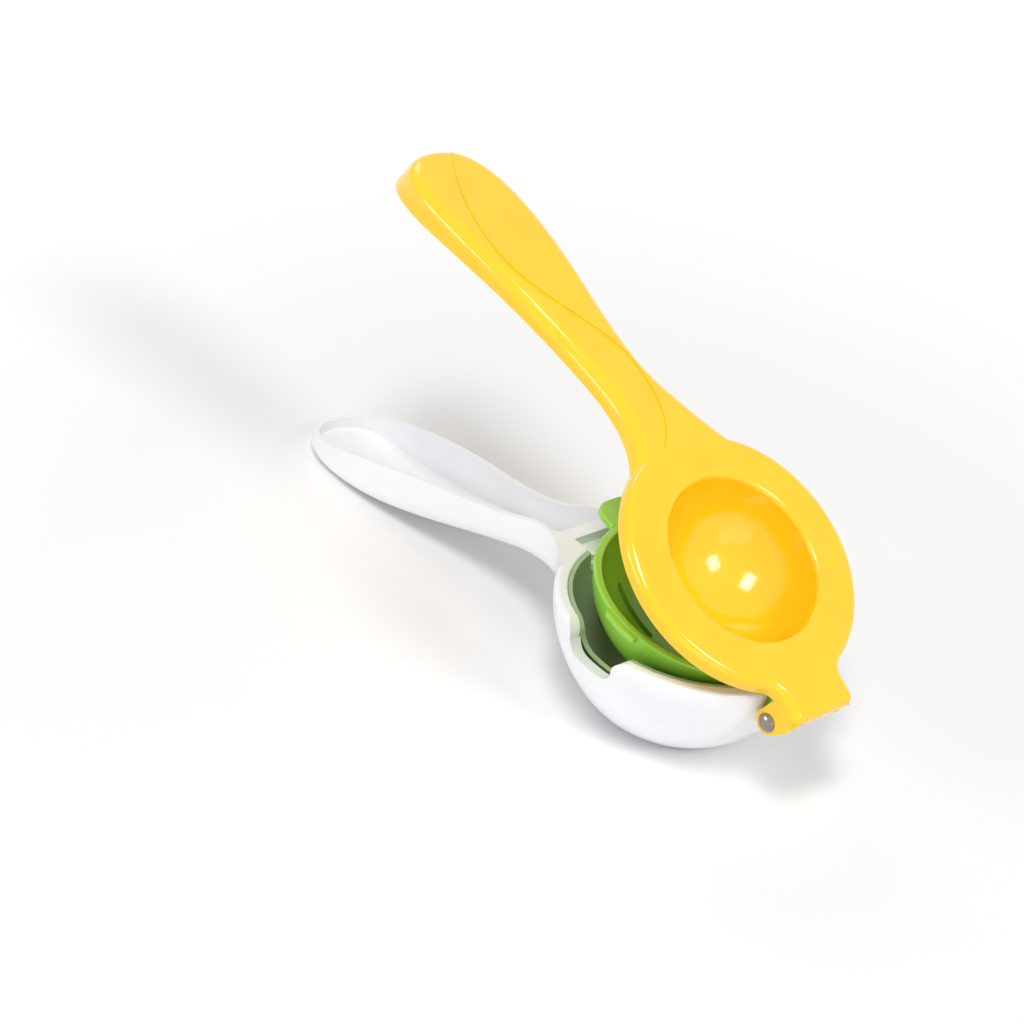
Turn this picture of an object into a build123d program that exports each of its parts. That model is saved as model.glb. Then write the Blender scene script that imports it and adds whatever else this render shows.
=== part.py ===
# Two-in-one citrus squeezer: a lower arm that holds a lemon strainer bowl, a swinging lime cup
# and an upper arm with a press dome, all three turning on one steel rivet.
#
# Frame: millimetres, +Z up, origin in the middle of the round foot under the bowl, on the table.
# The handles point to -X, the hinge axis runs along Y at the +X side.
# Each leaf is drawn on a plane whose origin is where the bowl's axis meets the hinge's level,
# so lengths below are measured from the bowl's axis and heights from the hinge axis.
import os
from build123d import *

# Hinge
hinge_standoff = 2.8      # hinge axis outside the head's rim
hinge_z = 30.6            # hinge axis above the table
cup_raised = 9.7          # degrees that the lime cup stands above its seat
arm_raised = 31.0         # degrees that the upper arm stands above the lower arm
knuckle_radius = 4.2
knuckle_length = 8.5      # middle knuckle, from the hinge axis into the holder's wall
pin_radius = 2.0
pin_play = 0.05           # running gap round the pin
middle_knuckle_half = 6.3
side_gap = 0.35           # gap beside and round the knuckles
cup_knuckle_width = 2.6
lug_width = 3.3
rivet_head_radius = 3.0
rivet_head_height = 1.7
rivet_edge = 0.4
cap_socket_depth = 1.0

# Lower arm: bowl holder
head_radius = 43.2
rim_z = 7.0
rim_width = 4.2
ledge_width = 1.0
ledge_depth = 5.8
foot_radius = 18.0
drain_radius = 13.0
floor_thickness = 3.2
outer_fullness = 0.39
inner_fullness = 0.50
rim_rounding = 1.8
mouth_rounding = 0.6
notch_half = 9.0          # notch for the lime cup's lift tab
notch_depth = 3.5
notch_overrun = 1.2
scoop_centre = -1.5       # finger scoops at both sides
scoop_width = 18.5
scoop_depth = 9.8
scoop_corner = 5.0
scoop_rounding = 4.4
tongue_gap_depth = 5.0    # opening for the lime cup's hinge tongue, inwards from the ledge

# Both handles, seen from above
handle_length = 123.0     # from the head's rim
lower_extra = 3.0         # the lower handle is a little longer
neck_length = 24.8
neck_half = 10.4
grip_from_tip = 25.0
grip_half = 17.3
tip_bluntness = 1.5
root_depth = 7.2          # the handle's root inside the rim
root_inset = 0.9
mid_from_tip = 56.2

# Lower handle, seen from the side
lower_top_run = 2.3       # level stretch outside the rim
lower_top_near = 0.6      # height of its edge at the neck
lower_top_mid = -9.2
lower_top_tip = -26.0
lower_belly_start = -3.5
lower_belly_neck = -12.0
rest_from_tip = 14.2      # where the grip touches the table
channel_wall = 2.2
channel_floor = 2.6
channel_setback = 6.3     # channel's end outside the rim
channel_corner = 2.5
belly_rounding = 5.0

# Lemon bowl
bowl_flange_top = 0.4     # flange below the holder's rim
bowl_flange_gap = 0.1
bowl_rim = 1.3
bowl_wall = 2.0
bowl_floor_gap = 0.8      # bowl above the holder's floor
bowl_slots = 10
bowl_slot_width = 2.4
bowl_slot_inner = 10.0
bowl_slot_margin = 8.6    # slots end this far inside the bowl's rim

# Lime cup
cup_gap = 2.6             # cup inside the lemon bowl's rim
cup_wall = 2.6
cup_top = 6.45
cup_floor_gap = 1.55      # cup above the lemon bowl's bottom
cup_edge = 0.8
cup_slots = 10
cup_slot_width = 2.2
cup_slot_inner = 8.0
cup_slot_margin = 10.0
tab_overhang = 0.8        # lift tab outside the holder's rim
tab_root_half = 8.4
tab_end_half = 7.8
tab_thickness = 2.5
tab_corner = 6.0
tab_edge = 0.7
ear_width = 1.4           # finger ears at both sides
ear_length = 13.0
ear_drop = 0.4
ear_height = 1.8
ear_corner = 1.0
tongue_back = 7.4         # end of the hinge tongue before the hinge axis
tongue_thickness = 3.1

# Upper arm
press_inset = 1.5         # press head inside the holder's rim
press_bottom = 7.2
press_top = 12.2
press_edge = 3.0
press_lip = 1.6
dome_gap = 3.0            # dome inside the lime cup's wall
dome_floor_gap = 5.65     # dome above the lime cup's floor
dome_wall = 2.4
dome_floor = 2.6
plate_overhang = 5.8      # hinge plate past the hinge axis
plate_blend = 6.0
plate_corner = 2.5
lug_sink = 1.0            # lugs reach this far into the plate
upper_top_near = 5.2      # height of the handle's back at the neck
upper_top_mid = -4.8
upper_top_tip = -27.0
upper_under_start = 7.4
upper_under_near = -2.0
upper_under_mid = -13.0
upper_under_tip = -40.0
back_rounding = 4.5
back_wall = 2.6
side_wall = 2.4
hollow_setback = 6.8      # hollow's end outside the holder's rim
pad_height = 0.5          # raised pad on the handle's back, beside a long S line
pad_swing_from_tip = 47.0
pad_swing = 10.4
pad_neck = 6.4
pad_root = 15.0

# Positions that follow from the sizes above
overcut = 10.0            # how far blanks and cutters run past what they cut
blank_half = 80.0         # half height of the blanks that the side profiles cut
hinge_x = head_radius + hinge_standoff
mouth_radius = head_radius - rim_width
ledge_radius = mouth_radius - ledge_width
ledge_z = rim_z - ledge_depth
foot_z = -hinge_z
floor_z = foot_z + floor_thickness
notch_end = head_radius + notch_overrun
neck_x = head_radius + neck_length
handle_reach = head_radius + handle_length
lower_reach = handle_reach + lower_extra
grip_x = handle_reach - grip_from_tip
mid_x = handle_reach - mid_from_tip
rest_x = handle_reach - rest_from_tip
tip_end = handle_reach + overcut
channel_start = head_radius + channel_setback
bowl_inner_radius = mouth_radius - bowl_flange_gap - bowl_rim
bowl_bottom = floor_z + bowl_floor_gap + bowl_wall
cup_radius = bowl_inner_radius - cup_gap
cup_bottom = bowl_bottom + cup_floor_gap
cup_knuckle_start = middle_knuckle_half + side_gap
cup_knuckle_end = cup_knuckle_start + cup_knuckle_width
lug_start = cup_knuckle_end + side_gap
lug_end = lug_start + lug_width
tongue_reach = hinge_x - tongue_back
press_radius = head_radius - press_inset
plate_end = hinge_x + plate_overhang
dome_radius = cup_radius - cup_wall - dome_gap
dome_bottom = cup_bottom + cup_wall + dome_floor_gap
press_cup_radius = dome_radius - dome_wall
press_cup_bottom = dome_bottom + dome_floor
lower_root_x = head_radius - root_depth
upper_root_x = press_radius - root_depth


def leaf(angle):
    """Plane of one leaf, turned about the hinge axis, with its origin on the bowl's axis."""
    turned = Plane((hinge_x, 0, hinge_z)).rotated((0, angle, 0))
    return Plane(turned.origin - turned.x_dir * hinge_x, x_dir=turned.x_dir, z_dir=turned.z_dir)


def side(plane):
    """Middle section of a leaf: x away from the handle, y up."""
    return Plane(plane.origin, x_dir=plane.x_dir, z_dir=-plane.y_dir)


def handle_outline(radius, reach, inset):
    """Handle seen from above, drawn in by inset: narrow neck, wide grip and a blunt round end."""
    root_x = radius - root_depth
    root_half = (radius**2 - root_x**2) ** 0.5 - root_inset
    neck = neck_half - inset
    grip = grip_half - inset
    tip = reach - inset
    with BuildSketch() as outline:
        with BuildLine():
            Spline(
                (-root_x, root_half),
                (-neck_x, neck),
                (-grip_x, grip),
                (-tip, 0),
                (-grip_x, -grip),
                (-neck_x, -neck),
                (-root_x, -root_half),
                tangents=[(-1, -1), (-1, 0), (-1, 0), (0, -1), (1, 0), (1, 0), (1, -1)],
                tangent_scalars=[1.0, 1.0, 1.0, tip_bluntness, 1.0, 1.0, 1.0],
            )
            Line((-root_x, root_half), (-root_x, -root_half))
        make_face()
    return outline.sketch


lower = leaf(0)
cup = leaf(cup_raised)
upper = leaf(arm_raised)
lower_axis = Axis(lower.origin, lower.z_dir)
cup_axis = Axis(cup.origin, cup.z_dir)
upper_axis = Axis(upper.origin, upper.z_dir)

# Cutter for the finger scoops in both sides of the rim, rounded at the top and in the corners
with BuildPart() as scoops:
    with BuildSketch(side(lower)) as scoop:
        left = scoop_centre - scoop_width / 2
        right = scoop_centre + scoop_width / 2
        with BuildLine():
            Polyline(
                (left - overcut, rim_z + overcut),
                (left - overcut, rim_z),
                (left, rim_z),
                (left, rim_z - scoop_depth),
                (right, rim_z - scoop_depth),
                (right, rim_z),
                (right + overcut, rim_z),
                (right + overcut, rim_z + overcut),
                close=True,
            )
        make_face()
        corners = scoop.vertices().filter_by(lambda v: left - 1 < v.X < right + 1)
        fillet(corners.group_by(Axis.Y)[0], scoop_corner)
        brims = scoop.vertices().filter_by(lambda v: left - 1 < v.X < right + 1)
        fillet(brims.group_by(Axis.Y)[-1], scoop_rounding)
    extrude(amount=2 * head_radius, both=True)

# Lower handle: the outline from above, cut to its side profile, with a rounded belly and a channel
with BuildPart() as lower_handle:
    with BuildSketch(lower.offset(-blank_half)):
        add(handle_outline(head_radius, lower_reach, 0))
    extrude(amount=2 * blank_half)
    with BuildSketch(side(lower).offset(-head_radius)):
        with BuildLine():
            top = Spline(
                (-head_radius - lower_top_run, rim_z),
                (-neck_x, lower_top_near),
                (-mid_x, lower_top_mid),
                (-tip_end, lower_top_tip),
                tangents=[(-1, 0), (-1, -0.2)],
            )
            end = Line(top @ 1, (-tip_end, foot_z))
            belly = Spline(
                end @ 1,
                (-rest_x, foot_z),
                (-neck_x, lower_belly_neck),
                (-lower_root_x, lower_belly_start),
                tangents=[(1, 0), (1, 0), (1, 0.3), (1, 0.3)],
            )
            back = Line(belly @ 1, (-lower_root_x, rim_z))
            Line(back @ 1, top @ 0)
        make_face()
    extrude(amount=2 * head_radius, mode=Mode.INTERSECT)
    under = lower_handle.faces().filter_by(lambda f: f.normal_at().Z < -0.7)
    fillet(under.edges().filter_by(GeomType.BSPLINE), belly_rounding)

# Its channel: the outline drawn in by the wall, above the belly by the floor's thickness
with BuildPart() as lower_channel:
    with BuildSketch(lower.offset(-blank_half)) as channel_plan:
        add(handle_outline(head_radius, lower_reach, channel_wall))
        with Locations((-channel_start, 0)):
            Rectangle(
                2 * handle_reach, 2 * head_radius, align=(Align.MAX, Align.CENTER), mode=Mode.INTERSECT
            )
        fillet(channel_plan.vertices().group_by(Axis.X)[-1], channel_corner)
    extrude(amount=2 * blank_half)
    with BuildSketch(side(lower).offset(-head_radius)):
        with BuildLine():
            floor = Spline(
                (-tip_end, foot_z + channel_floor),
                (-rest_x, foot_z + channel_floor),
                (-neck_x, lower_belly_neck + channel_floor),
                (-lower_root_x, lower_belly_start + channel_floor),
                tangents=[(1, 0), (1, 0), (1, 0.3), (1, 0.3)],
            )
            up = Line(floor @ 1, (-lower_root_x, 2 * rim_z))
            over = Line(up @ 1, (-tip_end, 2 * rim_z))
            Line(over @ 1, floor @ 0)
        make_face()
    extrude(amount=2 * head_radius, mode=Mode.INTERSECT)

# Lower arm: turned bowl holder, handle and the middle knuckle of the hinge
with BuildPart() as lower_arm:
    with BuildSketch(side(lower)) as holder:
        with BuildLine():
            foot = Line((0, foot_z), (foot_radius, foot_z))
            wall = Bezier(
                foot @ 1,
                (foot_radius + outer_fullness * (head_radius - foot_radius), foot_z),
                (head_radius, rim_z - outer_fullness * (rim_z - foot_z)),
                (head_radius, rim_z),
            )
            rim = Line(wall @ 1, (0, rim_z))
            Line(rim @ 1, foot @ 0)
        make_face()
        fillet(holder.vertices().filter_by(lambda v: v.X > 1 and v.Y > 1), rim_rounding)
    revolve(axis=lower_axis)
    add(lower_handle.part)
    add(lower_channel.part, mode=Mode.SUBTRACT)
    # Mouth with a rounded edge, ledge for the lemon bowl, and the open drain in the foot
    with BuildSketch(side(lower)):
        with BuildLine():
            edge_radius = mouth_radius + mouth_rounding
            brim = Polyline((0, rim_z + overcut), (edge_radius, rim_z + overcut), (edge_radius, rim_z))
            edge = TangentArc(brim @ 1, (mouth_radius, rim_z - mouth_rounding), tangent=(-1, 0))
            mouth = Polyline(edge @ 1, (mouth_radius, ledge_z), (ledge_radius, ledge_z))
            inner = Bezier(
                mouth @ 1,
                (ledge_radius, ledge_z - inner_fullness * (ledge_z - floor_z)),
                (drain_radius + inner_fullness * (ledge_radius - drain_radius), floor_z),
                (drain_radius, floor_z),
            )
            Polyline(inner @ 1, (drain_radius, foot_z - overcut), (0, foot_z - overcut), brim @ 0)
        make_face()
    revolve(axis=lower_axis, mode=Mode.SUBTRACT)
    # Notch for the lime cup's tab
    with BuildSketch(lower.offset(rim_z - notch_depth)):
        with Locations((-notch_end, 0)):
            Rectangle(notch_end, 2 * notch_half, align=(Align.MIN, Align.CENTER))
    extrude(amount=notch_depth + overcut, mode=Mode.SUBTRACT)
    # Finger scoops through both sides of the rim
    add(scoops.part, mode=Mode.SUBTRACT)
    # Opening for the lime cup's hinge tongue
    with BuildSketch(lower.offset(-knuckle_radius - side_gap)):
        with Locations((ledge_radius - tongue_gap_depth, 0)):
            Rectangle(hinge_x, 2 * (cup_knuckle_end + side_gap), align=(Align.MIN, Align.CENTER))
    extrude(amount=hinge_z, mode=Mode.SUBTRACT)
    # Room for the upper arm's lugs
    with BuildSketch(side(lower)):
        with Locations((hinge_x, 0)):
            Circle(knuckle_radius + side_gap)
        with Locations((hinge_x - knuckle_radius - side_gap, 0)):
            Rectangle(3 * knuckle_radius, rim_z + overcut, align=(Align.MIN, Align.MIN))
    extrude(amount=lug_end + side_gap, both=True, mode=Mode.SUBTRACT)
    # Middle knuckle with its bore
    with BuildSketch(side(lower)):
        with Locations((hinge_x, 0)):
            Circle(knuckle_radius)
        with BuildLine():
            Polyline(
                (hinge_x, -knuckle_radius),
                (hinge_x, knuckle_radius),
                (hinge_x - knuckle_length, 0),
                (hinge_x - knuckle_length, -3 * knuckle_radius),
                close=True,
            )
        make_face()
    extrude(amount=middle_knuckle_half, both=True)
    with BuildSketch(side(lower)):
        with Locations((hinge_x, 0)):
            Circle(pin_radius + pin_play)
    extrude(amount=lug_end, both=True, mode=Mode.SUBTRACT)

# Lemon bowl: strainer that hangs by its flange on the holder's ledge
with BuildPart() as lemon_bowl:
    flange_z = rim_z - bowl_flange_top
    flange_radius = mouth_radius - bowl_flange_gap
    shell_radius = ledge_radius - bowl_flange_gap
    with BuildSketch(side(lower)):
        with BuildLine():
            flange = Polyline(
                (bowl_inner_radius, flange_z),
                (flange_radius, flange_z),
                (flange_radius, ledge_z),
                (shell_radius, ledge_z),
            )
            TangentArc((0, bowl_bottom - bowl_wall), flange @ 1, tangent=(1, 0))
            Line((0, bowl_bottom - bowl_wall), (0, bowl_bottom))
            TangentArc((0, bowl_bottom), flange @ 0, tangent=(1, 0))
        make_face()
    revolve(axis=lower_axis)
    with BuildSketch(lower):
        slot_outer = bowl_inner_radius - bowl_slot_margin
        with PolarLocations((bowl_slot_inner + slot_outer) / 2, bowl_slots, start_angle=180 / bowl_slots):
            SlotOverall(slot_outer - bowl_slot_inner, bowl_slot_width)
    extrude(amount=-hinge_z, mode=Mode.SUBTRACT)
    # Openings in its flange for the lime cup's tab and, a little deeper, for its hinge tongue
    with BuildSketch(lower.offset(ledge_z)):
        with Locations((-notch_end, 0)):
            Rectangle(notch_end, 2 * notch_half, align=(Align.MIN, Align.CENTER))
    extrude(amount=ledge_depth, mode=Mode.SUBTRACT)
    with BuildSketch(lower.offset(cup_top - 2 * tongue_thickness)):
        Rectangle(notch_end, 2 * (cup_knuckle_end + side_gap), align=(Align.MIN, Align.CENTER))
    extrude(amount=rim_z, mode=Mode.SUBTRACT)
    add(scoops.part, mode=Mode.SUBTRACT)

# Lift tab of the lime cup, with soft edges
tab_root = cup_radius - cup_wall / 2
tab_reach = head_radius + tab_overhang
with BuildPart() as lift_tab:
    with BuildSketch(cup.offset(cup_top - tab_thickness)):
        with BuildLine():
            Polyline(
                (-tab_root, -tab_root_half),
                (-tab_reach, -tab_end_half),
                (-tab_reach, tab_end_half),
                (-tab_root, tab_root_half),
                close=True,
            )
        tab = make_face()
        fillet(tab.vertices().group_by(Axis.X)[0], tab_corner)
        Circle(tab_root, mode=Mode.SUBTRACT)
    extrude(amount=tab_thickness)
    flats = lift_tab.faces().filter_by(lambda f: abs(f.normal_at().dot(cup.z_dir)) > 0.99)
    fillet(flats.edges(), tab_edge)

# Lime cup: thin strainer cup with the lift tab, two finger ears and two knuckles on the pin
with BuildPart() as lime_cup:
    with BuildSketch(side(cup)) as cup_profile:
        with BuildLine():
            TangentArc((0, cup_bottom), (cup_radius, cup_top), tangent=(1, 0))
            Line((cup_radius, cup_top), (cup_radius - cup_wall, cup_top))
            TangentArc((0, cup_bottom + cup_wall), (cup_radius - cup_wall, cup_top), tangent=(1, 0))
            Line((0, cup_bottom), (0, cup_bottom + cup_wall))
        make_face()
        fillet(cup_profile.vertices().group_by(Axis.Y)[-1], cup_edge)
    revolve(axis=cup_axis)
    with BuildSketch(cup):
        slot_outer = cup_radius - cup_slot_margin
        with PolarLocations((cup_slot_inner + slot_outer) / 2, cup_slots, start_angle=180 / cup_slots):
            SlotOverall(slot_outer - cup_slot_inner, cup_slot_width)
    extrude(amount=-hinge_z, mode=Mode.SUBTRACT)
    add(lift_tab.part)
    # Finger ears
    with BuildSketch(cup.offset(cup_top - ear_drop)) as ears:
        Circle(cup_radius + ear_width)
        Rectangle(ear_length, 3 * cup_radius, mode=Mode.INTERSECT)
        fillet(ears.vertices(), ear_corner)
        Circle(tab_root, mode=Mode.SUBTRACT)
    extrude(amount=-ear_height)
    # Hinge tongue and its two knuckles
    with BuildSketch(cup.offset(cup_top)):
        Rectangle(tongue_reach, 2 * cup_knuckle_end, align=(Align.MIN, Align.CENTER))
        Circle(tab_root, mode=Mode.SUBTRACT)
    extrude(amount=-tongue_thickness)
    with BuildSketch(side(cup).offset(cup_knuckle_start), side(cup).offset(-cup_knuckle_end)):
        with Locations((hinge_x, 0)):
            Circle(knuckle_radius)
        with BuildLine():
            Polyline(
                (hinge_x, -knuckle_radius),
                (hinge_x, knuckle_radius),
                (tongue_reach, cup_top),
                (cup_radius, cup_top),
                (cup_radius, cup_top - tongue_thickness),
                close=True,
            )
        make_face()
        with Locations((hinge_x, 0)):
            Circle(pin_radius + pin_play, mode=Mode.SUBTRACT)
    extrude(amount=cup_knuckle_width)


def upper_blank(drop):
    """Upper handle with a rounded back, its back lowered by drop."""
    with BuildPart() as blank:
        with BuildSketch(upper.offset(-blank_half)):
            add(handle_outline(press_radius, handle_reach, 0))
        extrude(amount=2 * blank_half)
        with BuildSketch(side(upper).offset(-head_radius)):
            with BuildLine():
                top = Spline(
                    (-upper_root_x, press_top - drop),
                    (-neck_x, upper_top_near - drop),
                    (-mid_x, upper_top_mid - drop),
                    (-tip_end, upper_top_tip - drop),
                    tangents=[(-1, 0), (-1, -0.4)],
                )
                tip = Line(top @ 1, (-tip_end, upper_under_tip))
                under = Spline(
                    tip @ 1,
                    (-mid_x, upper_under_mid),
                    (-neck_x, upper_under_near),
                    (-upper_root_x, upper_under_start),
                    tangents=[(1, 0.45), (1, 0.2)],
                )
                Line(under @ 1, top @ 0)
            make_face()
        extrude(amount=2 * head_radius, mode=Mode.INTERSECT)
        back = blank.faces().filter_by(lambda f: f.normal_at().dot(upper.z_dir) > 0.7)
        fillet(back.edges().filter_by(GeomType.BSPLINE), back_rounding)
    return blank.part


# The S line on its back: the pad lies on one side of it, the lower shoulder on the other
with BuildSketch() as shoulder_plan:
    with BuildLine():
        line = Spline(
            (-tip_end, grip_half),
            (-handle_reach + pad_swing_from_tip, -pad_swing),
            (-neck_x, pad_neck),
            (-upper_root_x, -pad_root),
            tangents=[(1, -1), (1, 0), (1, -0.2), (0.5, -1)],
        )
        Polyline(line @ 1, (-upper_root_x, -head_radius), (-tip_end, -head_radius), line @ 0)
    make_face()

with BuildPart() as shoulder:
    add(upper_blank(pad_height))
    with BuildSketch(upper.offset(-blank_half)):
        add(shoulder_plan.sketch)
    extrude(amount=2 * blank_half, mode=Mode.INTERSECT)

with BuildPart() as upper_handle:
    add(upper_blank(0))
    with BuildSketch(upper.offset(-blank_half)):
        add(shoulder_plan.sketch)
    extrude(amount=2 * blank_half, mode=Mode.SUBTRACT)
    add(shoulder.part)

# Its hollow underside
with BuildPart() as upper_hollow:
    with BuildSketch(upper.offset(-blank_half)):
        add(handle_outline(press_radius, handle_reach, side_wall))
        with Locations((-head_radius - hollow_setback, 0)):
            Rectangle(
                2 * handle_reach, 2 * head_radius, align=(Align.MAX, Align.CENTER), mode=Mode.INTERSECT
            )
    extrude(amount=2 * blank_half)
    with BuildSketch(side(upper).offset(-head_radius)):
        with BuildLine():
            ceiling = Spline(
                (-upper_root_x, press_top - back_wall),
                (-neck_x, upper_top_near - back_wall),
                (-mid_x, upper_top_mid - back_wall),
                (-tip_end, upper_top_tip - back_wall),
                tangents=[(-1, 0), (-1, -0.4)],
            )
            Polyline(ceiling @ 1, (-tip_end, -blank_half), (-upper_root_x, -blank_half), ceiling @ 0)
        make_face()
    extrude(amount=2 * head_radius, mode=Mode.INTERSECT)

# Upper arm: press head with its hollow dome, hinge plate, two lugs and the handle
with BuildPart() as upper_arm:
    with BuildSketch(upper.offset(press_bottom)) as press_plan:
        Circle(press_radius)
        Rectangle(plate_end, 2 * lug_end, align=(Align.MIN, Align.CENTER))
        fillet(press_plan.vertices().group_by(Axis.X)[-1], plate_corner)
        at_lugs = press_plan.vertices().filter_by(lambda v: abs(abs(v.Y) - lug_end) < 0.01)
        fillet(at_lugs.filter_by(lambda v: v.X < press_radius), plate_blend)
    extrude(amount=press_top - press_bottom)
    fillet(upper_arm.faces().sort_by(upper_axis)[-1].edges(), press_edge)
    add(upper_handle.part)
    add(upper_hollow.part, mode=Mode.SUBTRACT)
    with BuildSketch(side(upper)):
        with BuildLine():
            TangentArc((0, dome_bottom), (dome_radius, press_bottom), tangent=(1, 0))
            Polyline((dome_radius, press_bottom), (dome_radius, press_top), (0, press_top), (0, dome_bottom))
        make_face()
    revolve(axis=upper_axis)
    with BuildSketch(side(upper)):
        with BuildLine():
            TangentArc((0, press_cup_bottom), (press_cup_radius, press_top), tangent=(1, 0))
            Polyline((press_cup_radius, press_top), (0, press_top), (0, press_cup_bottom))
        make_face()
    revolve(axis=upper_axis, mode=Mode.SUBTRACT)
    circles = upper_arm.edges().filter_by(GeomType.CIRCLE)
    fillet(circles.filter_by(lambda e: abs(e.radius - press_cup_radius) < 0.01), press_lip)
    with BuildSketch(side(upper).offset(lug_start), side(upper).offset(-lug_end)):
        with Locations((hinge_x, 0)):
            Circle(knuckle_radius)
        with BuildLine():
            Polyline(
                (hinge_x - knuckle_radius, 0),
                (hinge_x - knuckle_radius, press_bottom + lug_sink),
                (plate_end, press_bottom + lug_sink),
                (plate_end, knuckle_radius),
                (hinge_x + knuckle_radius, 0),
                close=True,
            )
        make_face()
        with Locations((hinge_x, 0)):
            Circle(pin_radius, mode=Mode.SUBTRACT)
    extrude(amount=lug_width)

# Rivet: shaft with a domed head, and the domed cap pressed on its far end
pin = Plane((hinge_x, 0, hinge_z))
pin_axis = Axis(pin.origin, pin.y_dir)
with BuildPart() as hinge_rivet:
    with BuildSketch(pin):
        with BuildLine():
            seat = Line((0, -lug_end), (rivet_head_radius, -lug_end))
            rise = Line(seat @ 1, (rivet_head_radius, -lug_end - rivet_edge))
            TangentArc((0, -lug_end - rivet_head_height), rise @ 1, tangent=(1, 0))
            Line((0, -lug_end - rivet_head_height), (0, -lug_end))
        make_face()
        with Locations((0, -lug_end)):
            Rectangle(pin_radius, 2 * lug_end + cap_socket_depth, align=(Align.MIN, Align.MIN))
    revolve(axis=pin_axis)

with BuildPart() as rivet_cap:
    with BuildSketch(pin):
        with BuildLine():
            seat = Line((0, lug_end), (rivet_head_radius, lug_end))
            rise = Line(seat @ 1, (rivet_head_radius, lug_end + rivet_edge))
            TangentArc((0, lug_end + rivet_head_height), rise @ 1, tangent=(1, 0))
            Line((0, lug_end + rivet_head_height), (0, lug_end))
        make_face()
        with Locations((0, lug_end)):
            Rectangle(pin_radius, cap_socket_depth, align=(Align.MIN, Align.MIN), mode=Mode.SUBTRACT)
    revolve(axis=pin_axis)

lower_arm.part.label = "lower_arm"
lemon_bowl.part.label = "lemon_bowl"
lime_cup.part.label = "lime_cup"
upper_arm.part.label = "upper_arm"
hinge_rivet.part.label = "hinge_rivet"
rivet_cap.part.label = "rivet_cap"

os.makedirs("parts", exist_ok=True)
export_step(lower_arm.part, "parts/lower_arm.step")
export_step(lemon_bowl.part, "parts/lemon_bowl.step")
export_step(lime_cup.part, "parts/lime_cup.step")
export_step(upper_arm.part, "parts/upper_arm.step")
export_step(hinge_rivet.part, "parts/hinge_rivet.step")
export_step(rivet_cap.part, "parts/rivet_cap.step")
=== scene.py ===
# %% [markdown]
# # A two-in-one citrus squeezer
# A hand squeezer with three leaves on one rivet: a white lower arm that carries a large strainer bowl,
# a small green strainer cup that swings inside it, and a yellow upper arm with the dome that presses.
# The solids come from the CAD model. This lesson gives them their finishes, a camera and light.

# %% Load the solids
import math

import bpy
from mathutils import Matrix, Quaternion, Vector


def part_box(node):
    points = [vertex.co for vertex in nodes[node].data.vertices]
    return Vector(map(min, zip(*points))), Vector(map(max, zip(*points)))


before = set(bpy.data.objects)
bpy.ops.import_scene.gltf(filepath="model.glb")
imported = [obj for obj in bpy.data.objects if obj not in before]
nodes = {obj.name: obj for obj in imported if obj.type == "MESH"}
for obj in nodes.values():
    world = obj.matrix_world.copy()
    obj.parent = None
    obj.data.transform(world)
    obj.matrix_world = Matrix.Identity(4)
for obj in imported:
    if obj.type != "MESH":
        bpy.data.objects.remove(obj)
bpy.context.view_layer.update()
scene = bpy.context.scene
scene.view_settings.view_transform = "Standard"
print("pieces:", sorted(nodes))

# %% [markdown]
# ## The camera
# The photograph was taken with a long lens from above the rivet's side, so parallel edges stay nearly
# parallel. A short lens from nearby would frame it as well, but would swell the head. The squeezer
# stands level on its foot here and leans in the photograph, so the camera is rolled to match. A plain
# floor shows no horizon, so the roll itself can't be seen.

# %% Camera
CAMERA_PLACE = Vector((0.4073, -0.5752, 0.4964))
CAMERA_AIM = Vector((-0.0597, -0.0233, 0.0423))
CAMERA_ROLL = math.radians(13.9)
LENS_MM = 96.9
SENSOR_MM = 36.0
FARTHEST = 20.0

lens = bpy.data.cameras.new("camera")
lens.lens = LENS_MM
lens.sensor_width = SENSOR_MM
lens.clip_end = FARTHEST
camera = bpy.data.objects.new("camera", lens)
scene.collection.objects.link(camera)
camera.location = CAMERA_PLACE
camera.rotation_mode = "QUATERNION"
level = (CAMERA_AIM - CAMERA_PLACE).to_track_quat("-Z", "Y")
camera.rotation_quaternion = level @ Quaternion((0, 0, 1), CAMERA_ROLL)
scene.camera = camera
print("camera distance in metres:", round((CAMERA_AIM - CAMERA_PLACE).length, 3))

# %% [markdown]
# ## Colours and nodes
# A colour picker shows sRGB values, and Blender's shaders mix light, which is linear. One function
# turns a hex value into linear colour, so that every colour can be written as a picker shows it. One
# more adds a node with its settings and links, which keeps each material down to what is its own.

# %% Helpers for materials
MM = 0.001


def linear(hex_code):
    """Linear RGBA of an sRGB hex value."""
    shares = [int(hex_code[i : i + 2], 16) / 255 for i in (1, 3, 5)]
    return [c / 12.92 if c <= 0.04045 else ((c + 0.055) / 1.055) ** 2.4 for c in shares] + [1.0]


def add_node(tree, kind, inputs=None, **settings):
    """A new node. An input, by name or number, takes a fixed value or is linked to a socket."""
    node = tree.nodes.new(kind)
    for name, value in settings.items():
        setattr(node, name, value)
    for name, value in (inputs or {}).items():
        if isinstance(value, bpy.types.NodeSocket):
            tree.links.new(value, node.inputs[name])
        else:
            node.inputs[name].default_value = value
    return node


def new_material(name):
    """An empty material with its output node and the object's own coordinates, in metres."""
    material = bpy.data.materials.new(name)
    material.use_nodes = True
    tree = material.node_tree
    tree.nodes.clear()
    output = add_node(tree, "ShaderNodeOutputMaterial")
    place = add_node(tree, "ShaderNodeTexCoord").outputs["Object"]
    return material, tree, output, place


def dress(node_name, material):
    """Gives one CAD piece its finish."""
    mesh = nodes[node_name].data
    mesh.materials.clear()
    mesh.materials.append(material)
    print(node_name, "is", material.name)


print("middle grey in linear light:", round(linear("#808080")[0], 3))

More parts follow.
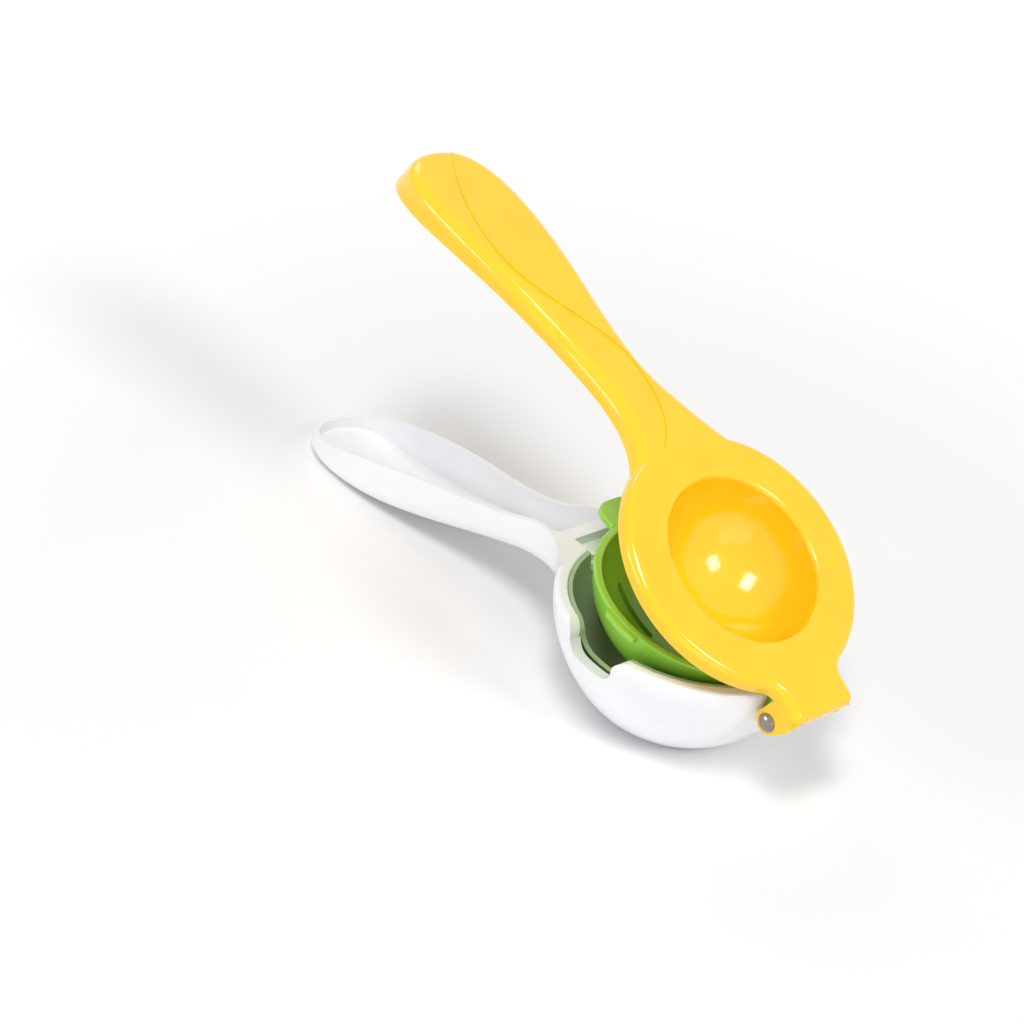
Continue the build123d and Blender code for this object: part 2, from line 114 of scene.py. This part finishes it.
# %% [markdown]
# ## Moulded nylon
# The arms and the cups are glass-filled nylon, injection moulded in a polished tool. The eye sees an
# even colour under a bright gloss, which is a little soft, because the skin has a faint orange peel
# from shrinking, and a little uneven from handling. The strainer bowl is more satin than the rest. A
# painted texture would need every piece unwrapped, so two noises take the place in the piece itself.
# The finer one drives the peel, and the coarser one the gloss and a very small drift of the colour.
# The peel is really finer than a millimetre, and is drawn coarser here so that it shows.

# %% Moulded nylon
NYLON_IOR = 1.53
PEEL_MM = 1.6
PEEL_HEIGHT_MM = 0.012
PEEL_STRENGTH = 0.3
HANDLING_MM = 14.0
HANDLING_DETAIL = 4.0
GLOSS_SPREAD = 0.03
DEEPEST_AT = 0.25
PLAIN_FROM = 0.6


def moulded_nylon(name, colour, deep_colour, roughness):
    """Moulded nylon: colour drifts towards deep_colour, roughness varies a little about its value."""
    material, tree, output, place = new_material(name)
    handling = add_node(
        tree,
        "ShaderNodeTexNoise",
        {"Vector": place, "Scale": 1 / (HANDLING_MM * MM), "Detail": HANDLING_DETAIL},
    )
    peel = add_node(tree, "ShaderNodeTexNoise", {"Vector": place, "Scale": 1 / (PEEL_MM * MM)})
    tint = add_node(tree, "ShaderNodeValToRGB", {"Fac": handling.outputs["Fac"]})
    deep, plain = tint.color_ramp.elements
    deep.position, deep.color = DEEPEST_AT, linear(deep_colour)
    plain.position, plain.color = PLAIN_FROM, linear(colour)
    gloss = add_node(
        tree,
        "ShaderNodeMapRange",
        {
            "Value": handling.outputs["Fac"],
            "To Min": roughness - GLOSS_SPREAD,
            "To Max": roughness + GLOSS_SPREAD,
        },
    )
    skin = add_node(
        tree,
        "ShaderNodeBump",
        {"Height": peel.outputs["Fac"], "Strength": PEEL_STRENGTH, "Distance": PEEL_HEIGHT_MM * MM},
    )
    nylon = add_node(
        tree,
        "ShaderNodeBsdfPrincipled",
        {
            "Base Color": tint.outputs["Color"],
            "Roughness": gloss.outputs["Result"],
            "Normal": skin.outputs["Normal"],
            "IOR": NYLON_IOR,
        },
    )
    tree.links.new(nylon.outputs["BSDF"], output.inputs["Surface"])
    return material


dress("lower_arm", moulded_nylon("white_nylon", "#F8F9FD", "#F4F5F9", roughness=0.2))
# The bowl's grey-green is painted shade: the green-tinted shade inside the white lower arm, given to
# the bowl as its colour.
dress("lemon_bowl", moulded_nylon("grey_green_nylon", "#B0C09B", "#A7B792", roughness=0.34))
dress("lime_cup", moulded_nylon("lime_green_nylon", "#98D546", "#90CD3F", roughness=0.2))
dress("upper_arm", moulded_nylon("lemon_yellow_nylon", "#FFD01C", "#FDCB18", roughness=0.13))

# %% [markdown]
# ## The steel rivet
# The rivet is stainless steel, turned and then tumbled bright, so it mirrors the room with fine rings
# left by the turning. Stretching the highlight alone would hint at them. A wave texture round the
# rivet's own axis draws the rings themselves, which hold from near as well, and a noise dulls some of
# them. Real tool marks are finer than a pixel here, so the rings are drawn coarser to show.

# %% Turned steel
RING_MM = 0.6
RING_DEPTH_MM = 0.01
RING_STRENGTH = 0.2
DULLING_MM = 0.8
STEEL_ROUGHNESS = 0.18
STEEL_SPREAD = 0.06
WAVE_STEPS = 20.0  # Blender's wave texture turns this many radians in one unit


def turned_steel():
    """Bright turned stainless steel, with its rings round the rivet's axis, which runs along Y."""
    material, tree, output, place = new_material("turned_steel")
    low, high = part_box("hinge_rivet")
    hub = [(a + b) / 2 for a, b in zip(low, high)]
    from_hub = add_node(tree, "ShaderNodeVectorMath", {0: place, 1: hub}, operation="SUBTRACT")
    rings = add_node(
        tree,
        "ShaderNodeTexWave",
        {"Vector": from_hub.outputs["Vector"], "Scale": 2 * math.pi / (WAVE_STEPS * RING_MM * MM)},
        wave_type="RINGS",
        rings_direction="Y",
    )
    dulling = add_node(tree, "ShaderNodeTexNoise", {"Vector": place, "Scale": 1 / (DULLING_MM * MM)})
    gloss = add_node(
        tree,
        "ShaderNodeMapRange",
        {
            "Value": dulling.outputs["Fac"],
            "To Min": STEEL_ROUGHNESS - STEEL_SPREAD,
            "To Max": STEEL_ROUGHNESS + STEEL_SPREAD,
        },
    )
    turned = add_node(
        tree,
        "ShaderNodeBump",
        {"Height": rings.outputs["Fac"], "Strength": RING_STRENGTH, "Distance": RING_DEPTH_MM * MM},
    )
    steel = add_node(
        tree,
        "ShaderNodeBsdfPrincipled",
        {
            "Base Color": linear("#938B83"),
            "Metallic": 1.0,
            "Roughness": gloss.outputs["Result"],
            "Normal": turned.outputs["Normal"],
        },
    )
    tree.links.new(steel.outputs["BSDF"], output.inputs["Surface"])
    return material


steel = turned_steel()
dress("hinge_rivet", steel)
dress("rivet_cap", steel)

# %% [markdown]
# ## Floor and room
# The photograph is a studio picture on seamless white. The floor is a matt white sheet that takes soft
# shadows. More lamps would whiten it, but they would bleach the squeezer too. So away from the
# squeezer the sheet is lifted to pure white for the rays that see it directly or in a mirror: it has
# no visible end, and no more light falls on the squeezer. The room is white to those rays too, and
# much dimmer as a light, so that it only fills the shadows.

# %% What is seen directly
def seen_directly(tree):
    """A socket that is 1 for camera, glossy and transmission rays, and 0 for diffuse light."""
    path = add_node(tree, "ShaderNodeLightPath").outputs
    direct = path["Is Camera Ray"]
    for kind in ("Is Glossy Ray", "Is Transmission Ray"):
        either = add_node(tree, "ShaderNodeMath", {0: direct, 1: path[kind]}, use_clamp=True)
        direct = either.outputs["Value"]
    return direct


# %% Floor
FLOOR_SIZE = 8.0
LIFT_FAR = 0.68
PLAIN_WITHIN = 0.2
LIFTED_BEYOND = 1.1

bpy.ops.mesh.primitive_plane_add(size=FLOOR_SIZE, location=(0, 0, 0))
floor = bpy.context.object
floor.name = "floor"
sheet, tree, output, place = new_material("white_sheet")
paper = add_node(tree, "ShaderNodeBsdfDiffuse", {"Color": linear("#F7F7F7")})
distance = add_node(tree, "ShaderNodeVectorMath", {0: place}, operation="LENGTH")
fade = add_node(
    tree,
    "ShaderNodeMapRange",
    {
        "Value": distance.outputs["Value"],
        "From Min": PLAIN_WITHIN,
        "From Max": LIFTED_BEYOND,
        "To Max": LIFT_FAR,
    },
)
lift = add_node(
    tree, "ShaderNodeMath", {0: fade.outputs["Result"], 1: seen_directly(tree)}, operation="MULTIPLY"
)
glow = add_node(tree, "ShaderNodeEmission", {"Strength": lift.outputs["Value"]})
both = add_node(tree, "ShaderNodeAddShader", {0: paper.outputs["BSDF"], 1: glow.outputs["Emission"]})
tree.links.new(both.outputs["Shader"], output.inputs["Surface"])
floor.data.materials.append(sheet)
print("floor plain within", PLAIN_WITHIN, "m and lifted by", LIFT_FAR, "beyond", LIFTED_BEYOND, "m")

# %% Room
ROOM_FILL = 0.38
ROOM_SEEN = 1.0

world = bpy.data.worlds.new("studio")
scene.world = world
world.use_nodes = True
tree = world.node_tree
tree.nodes.clear()
fill = add_node(
    tree, "ShaderNodeMapRange", {"Value": seen_directly(tree), "To Min": ROOM_FILL, "To Max": ROOM_SEEN}
)
room = add_node(
    tree, "ShaderNodeBackground", {"Color": linear("#FFFFFF"), "Strength": fill.outputs["Result"]}
)
add_node(tree, "ShaderNodeOutputWorld", {"Surface": room.outputs["Background"]})
print("room fill:", ROOM_FILL)

# %% [markdown]
# ## Lamps
# Two softboxes show as two bright windows in the hollow of the press: one at the right, past the
# hinge, and one above the near side. They also throw the pale shadows to the left. A low one before
# the handles draws the highlights along the rounded near edges and lights the near walls. A wide, dim
# one low on the hinge's side lights the bowl and the lime cup from there, and a weak one behind the
# handles lights the white channel and the far side. None stands where the flat disc or the handle's
# back would mirror it, because that would wash out their yellow. One bright sky would light it all as
# well, but would draw no windows and no lines along the edges.

# %% Lamps
MIDDLE = Vector((-0.03, 0.0, 0.05))
LAMP_DISTANCE = 2.2


def soft_lamp(name, azimuth, elevation, width, height, watts):
    """A softbox that looks at the squeezer. Angles are in degrees, azimuth from +X towards +Y."""
    light = bpy.data.lights.new(name, "AREA")
    light.shape = "RECTANGLE"
    light.size = width
    light.size_y = height
    light.energy = watts
    lamp = bpy.data.objects.new(name, light)
    scene.collection.objects.link(lamp)
    turn, rise = math.radians(azimuth), math.radians(elevation)
    towards = Vector((math.cos(turn) * math.cos(rise), math.sin(turn) * math.cos(rise), math.sin(rise)))
    lamp.location = MIDDLE + LAMP_DISTANCE * towards
    lamp.rotation_mode = "QUATERNION"
    lamp.rotation_quaternion = (-towards).to_track_quat("-Z", "Y")
    print(name, "gives", watts, "W")


soft_lamp("right_softbox", azimuth=8, elevation=42, width=0.55, height=0.55, watts=14.0)
soft_lamp("near_softbox", azimuth=-70, elevation=67, width=0.5, height=0.8, watts=19.5)
soft_lamp("low_softbox", azimuth=-118, elevation=14, width=1.1, height=0.5, watts=9.8)
soft_lamp("hinge_softbox", azimuth=-28, elevation=12, width=1.6, height=0.8, watts=4.5)
soft_lamp("back_softbox", azimuth=165, elevation=35, width=0.8, height=0.8, watts=4.5)
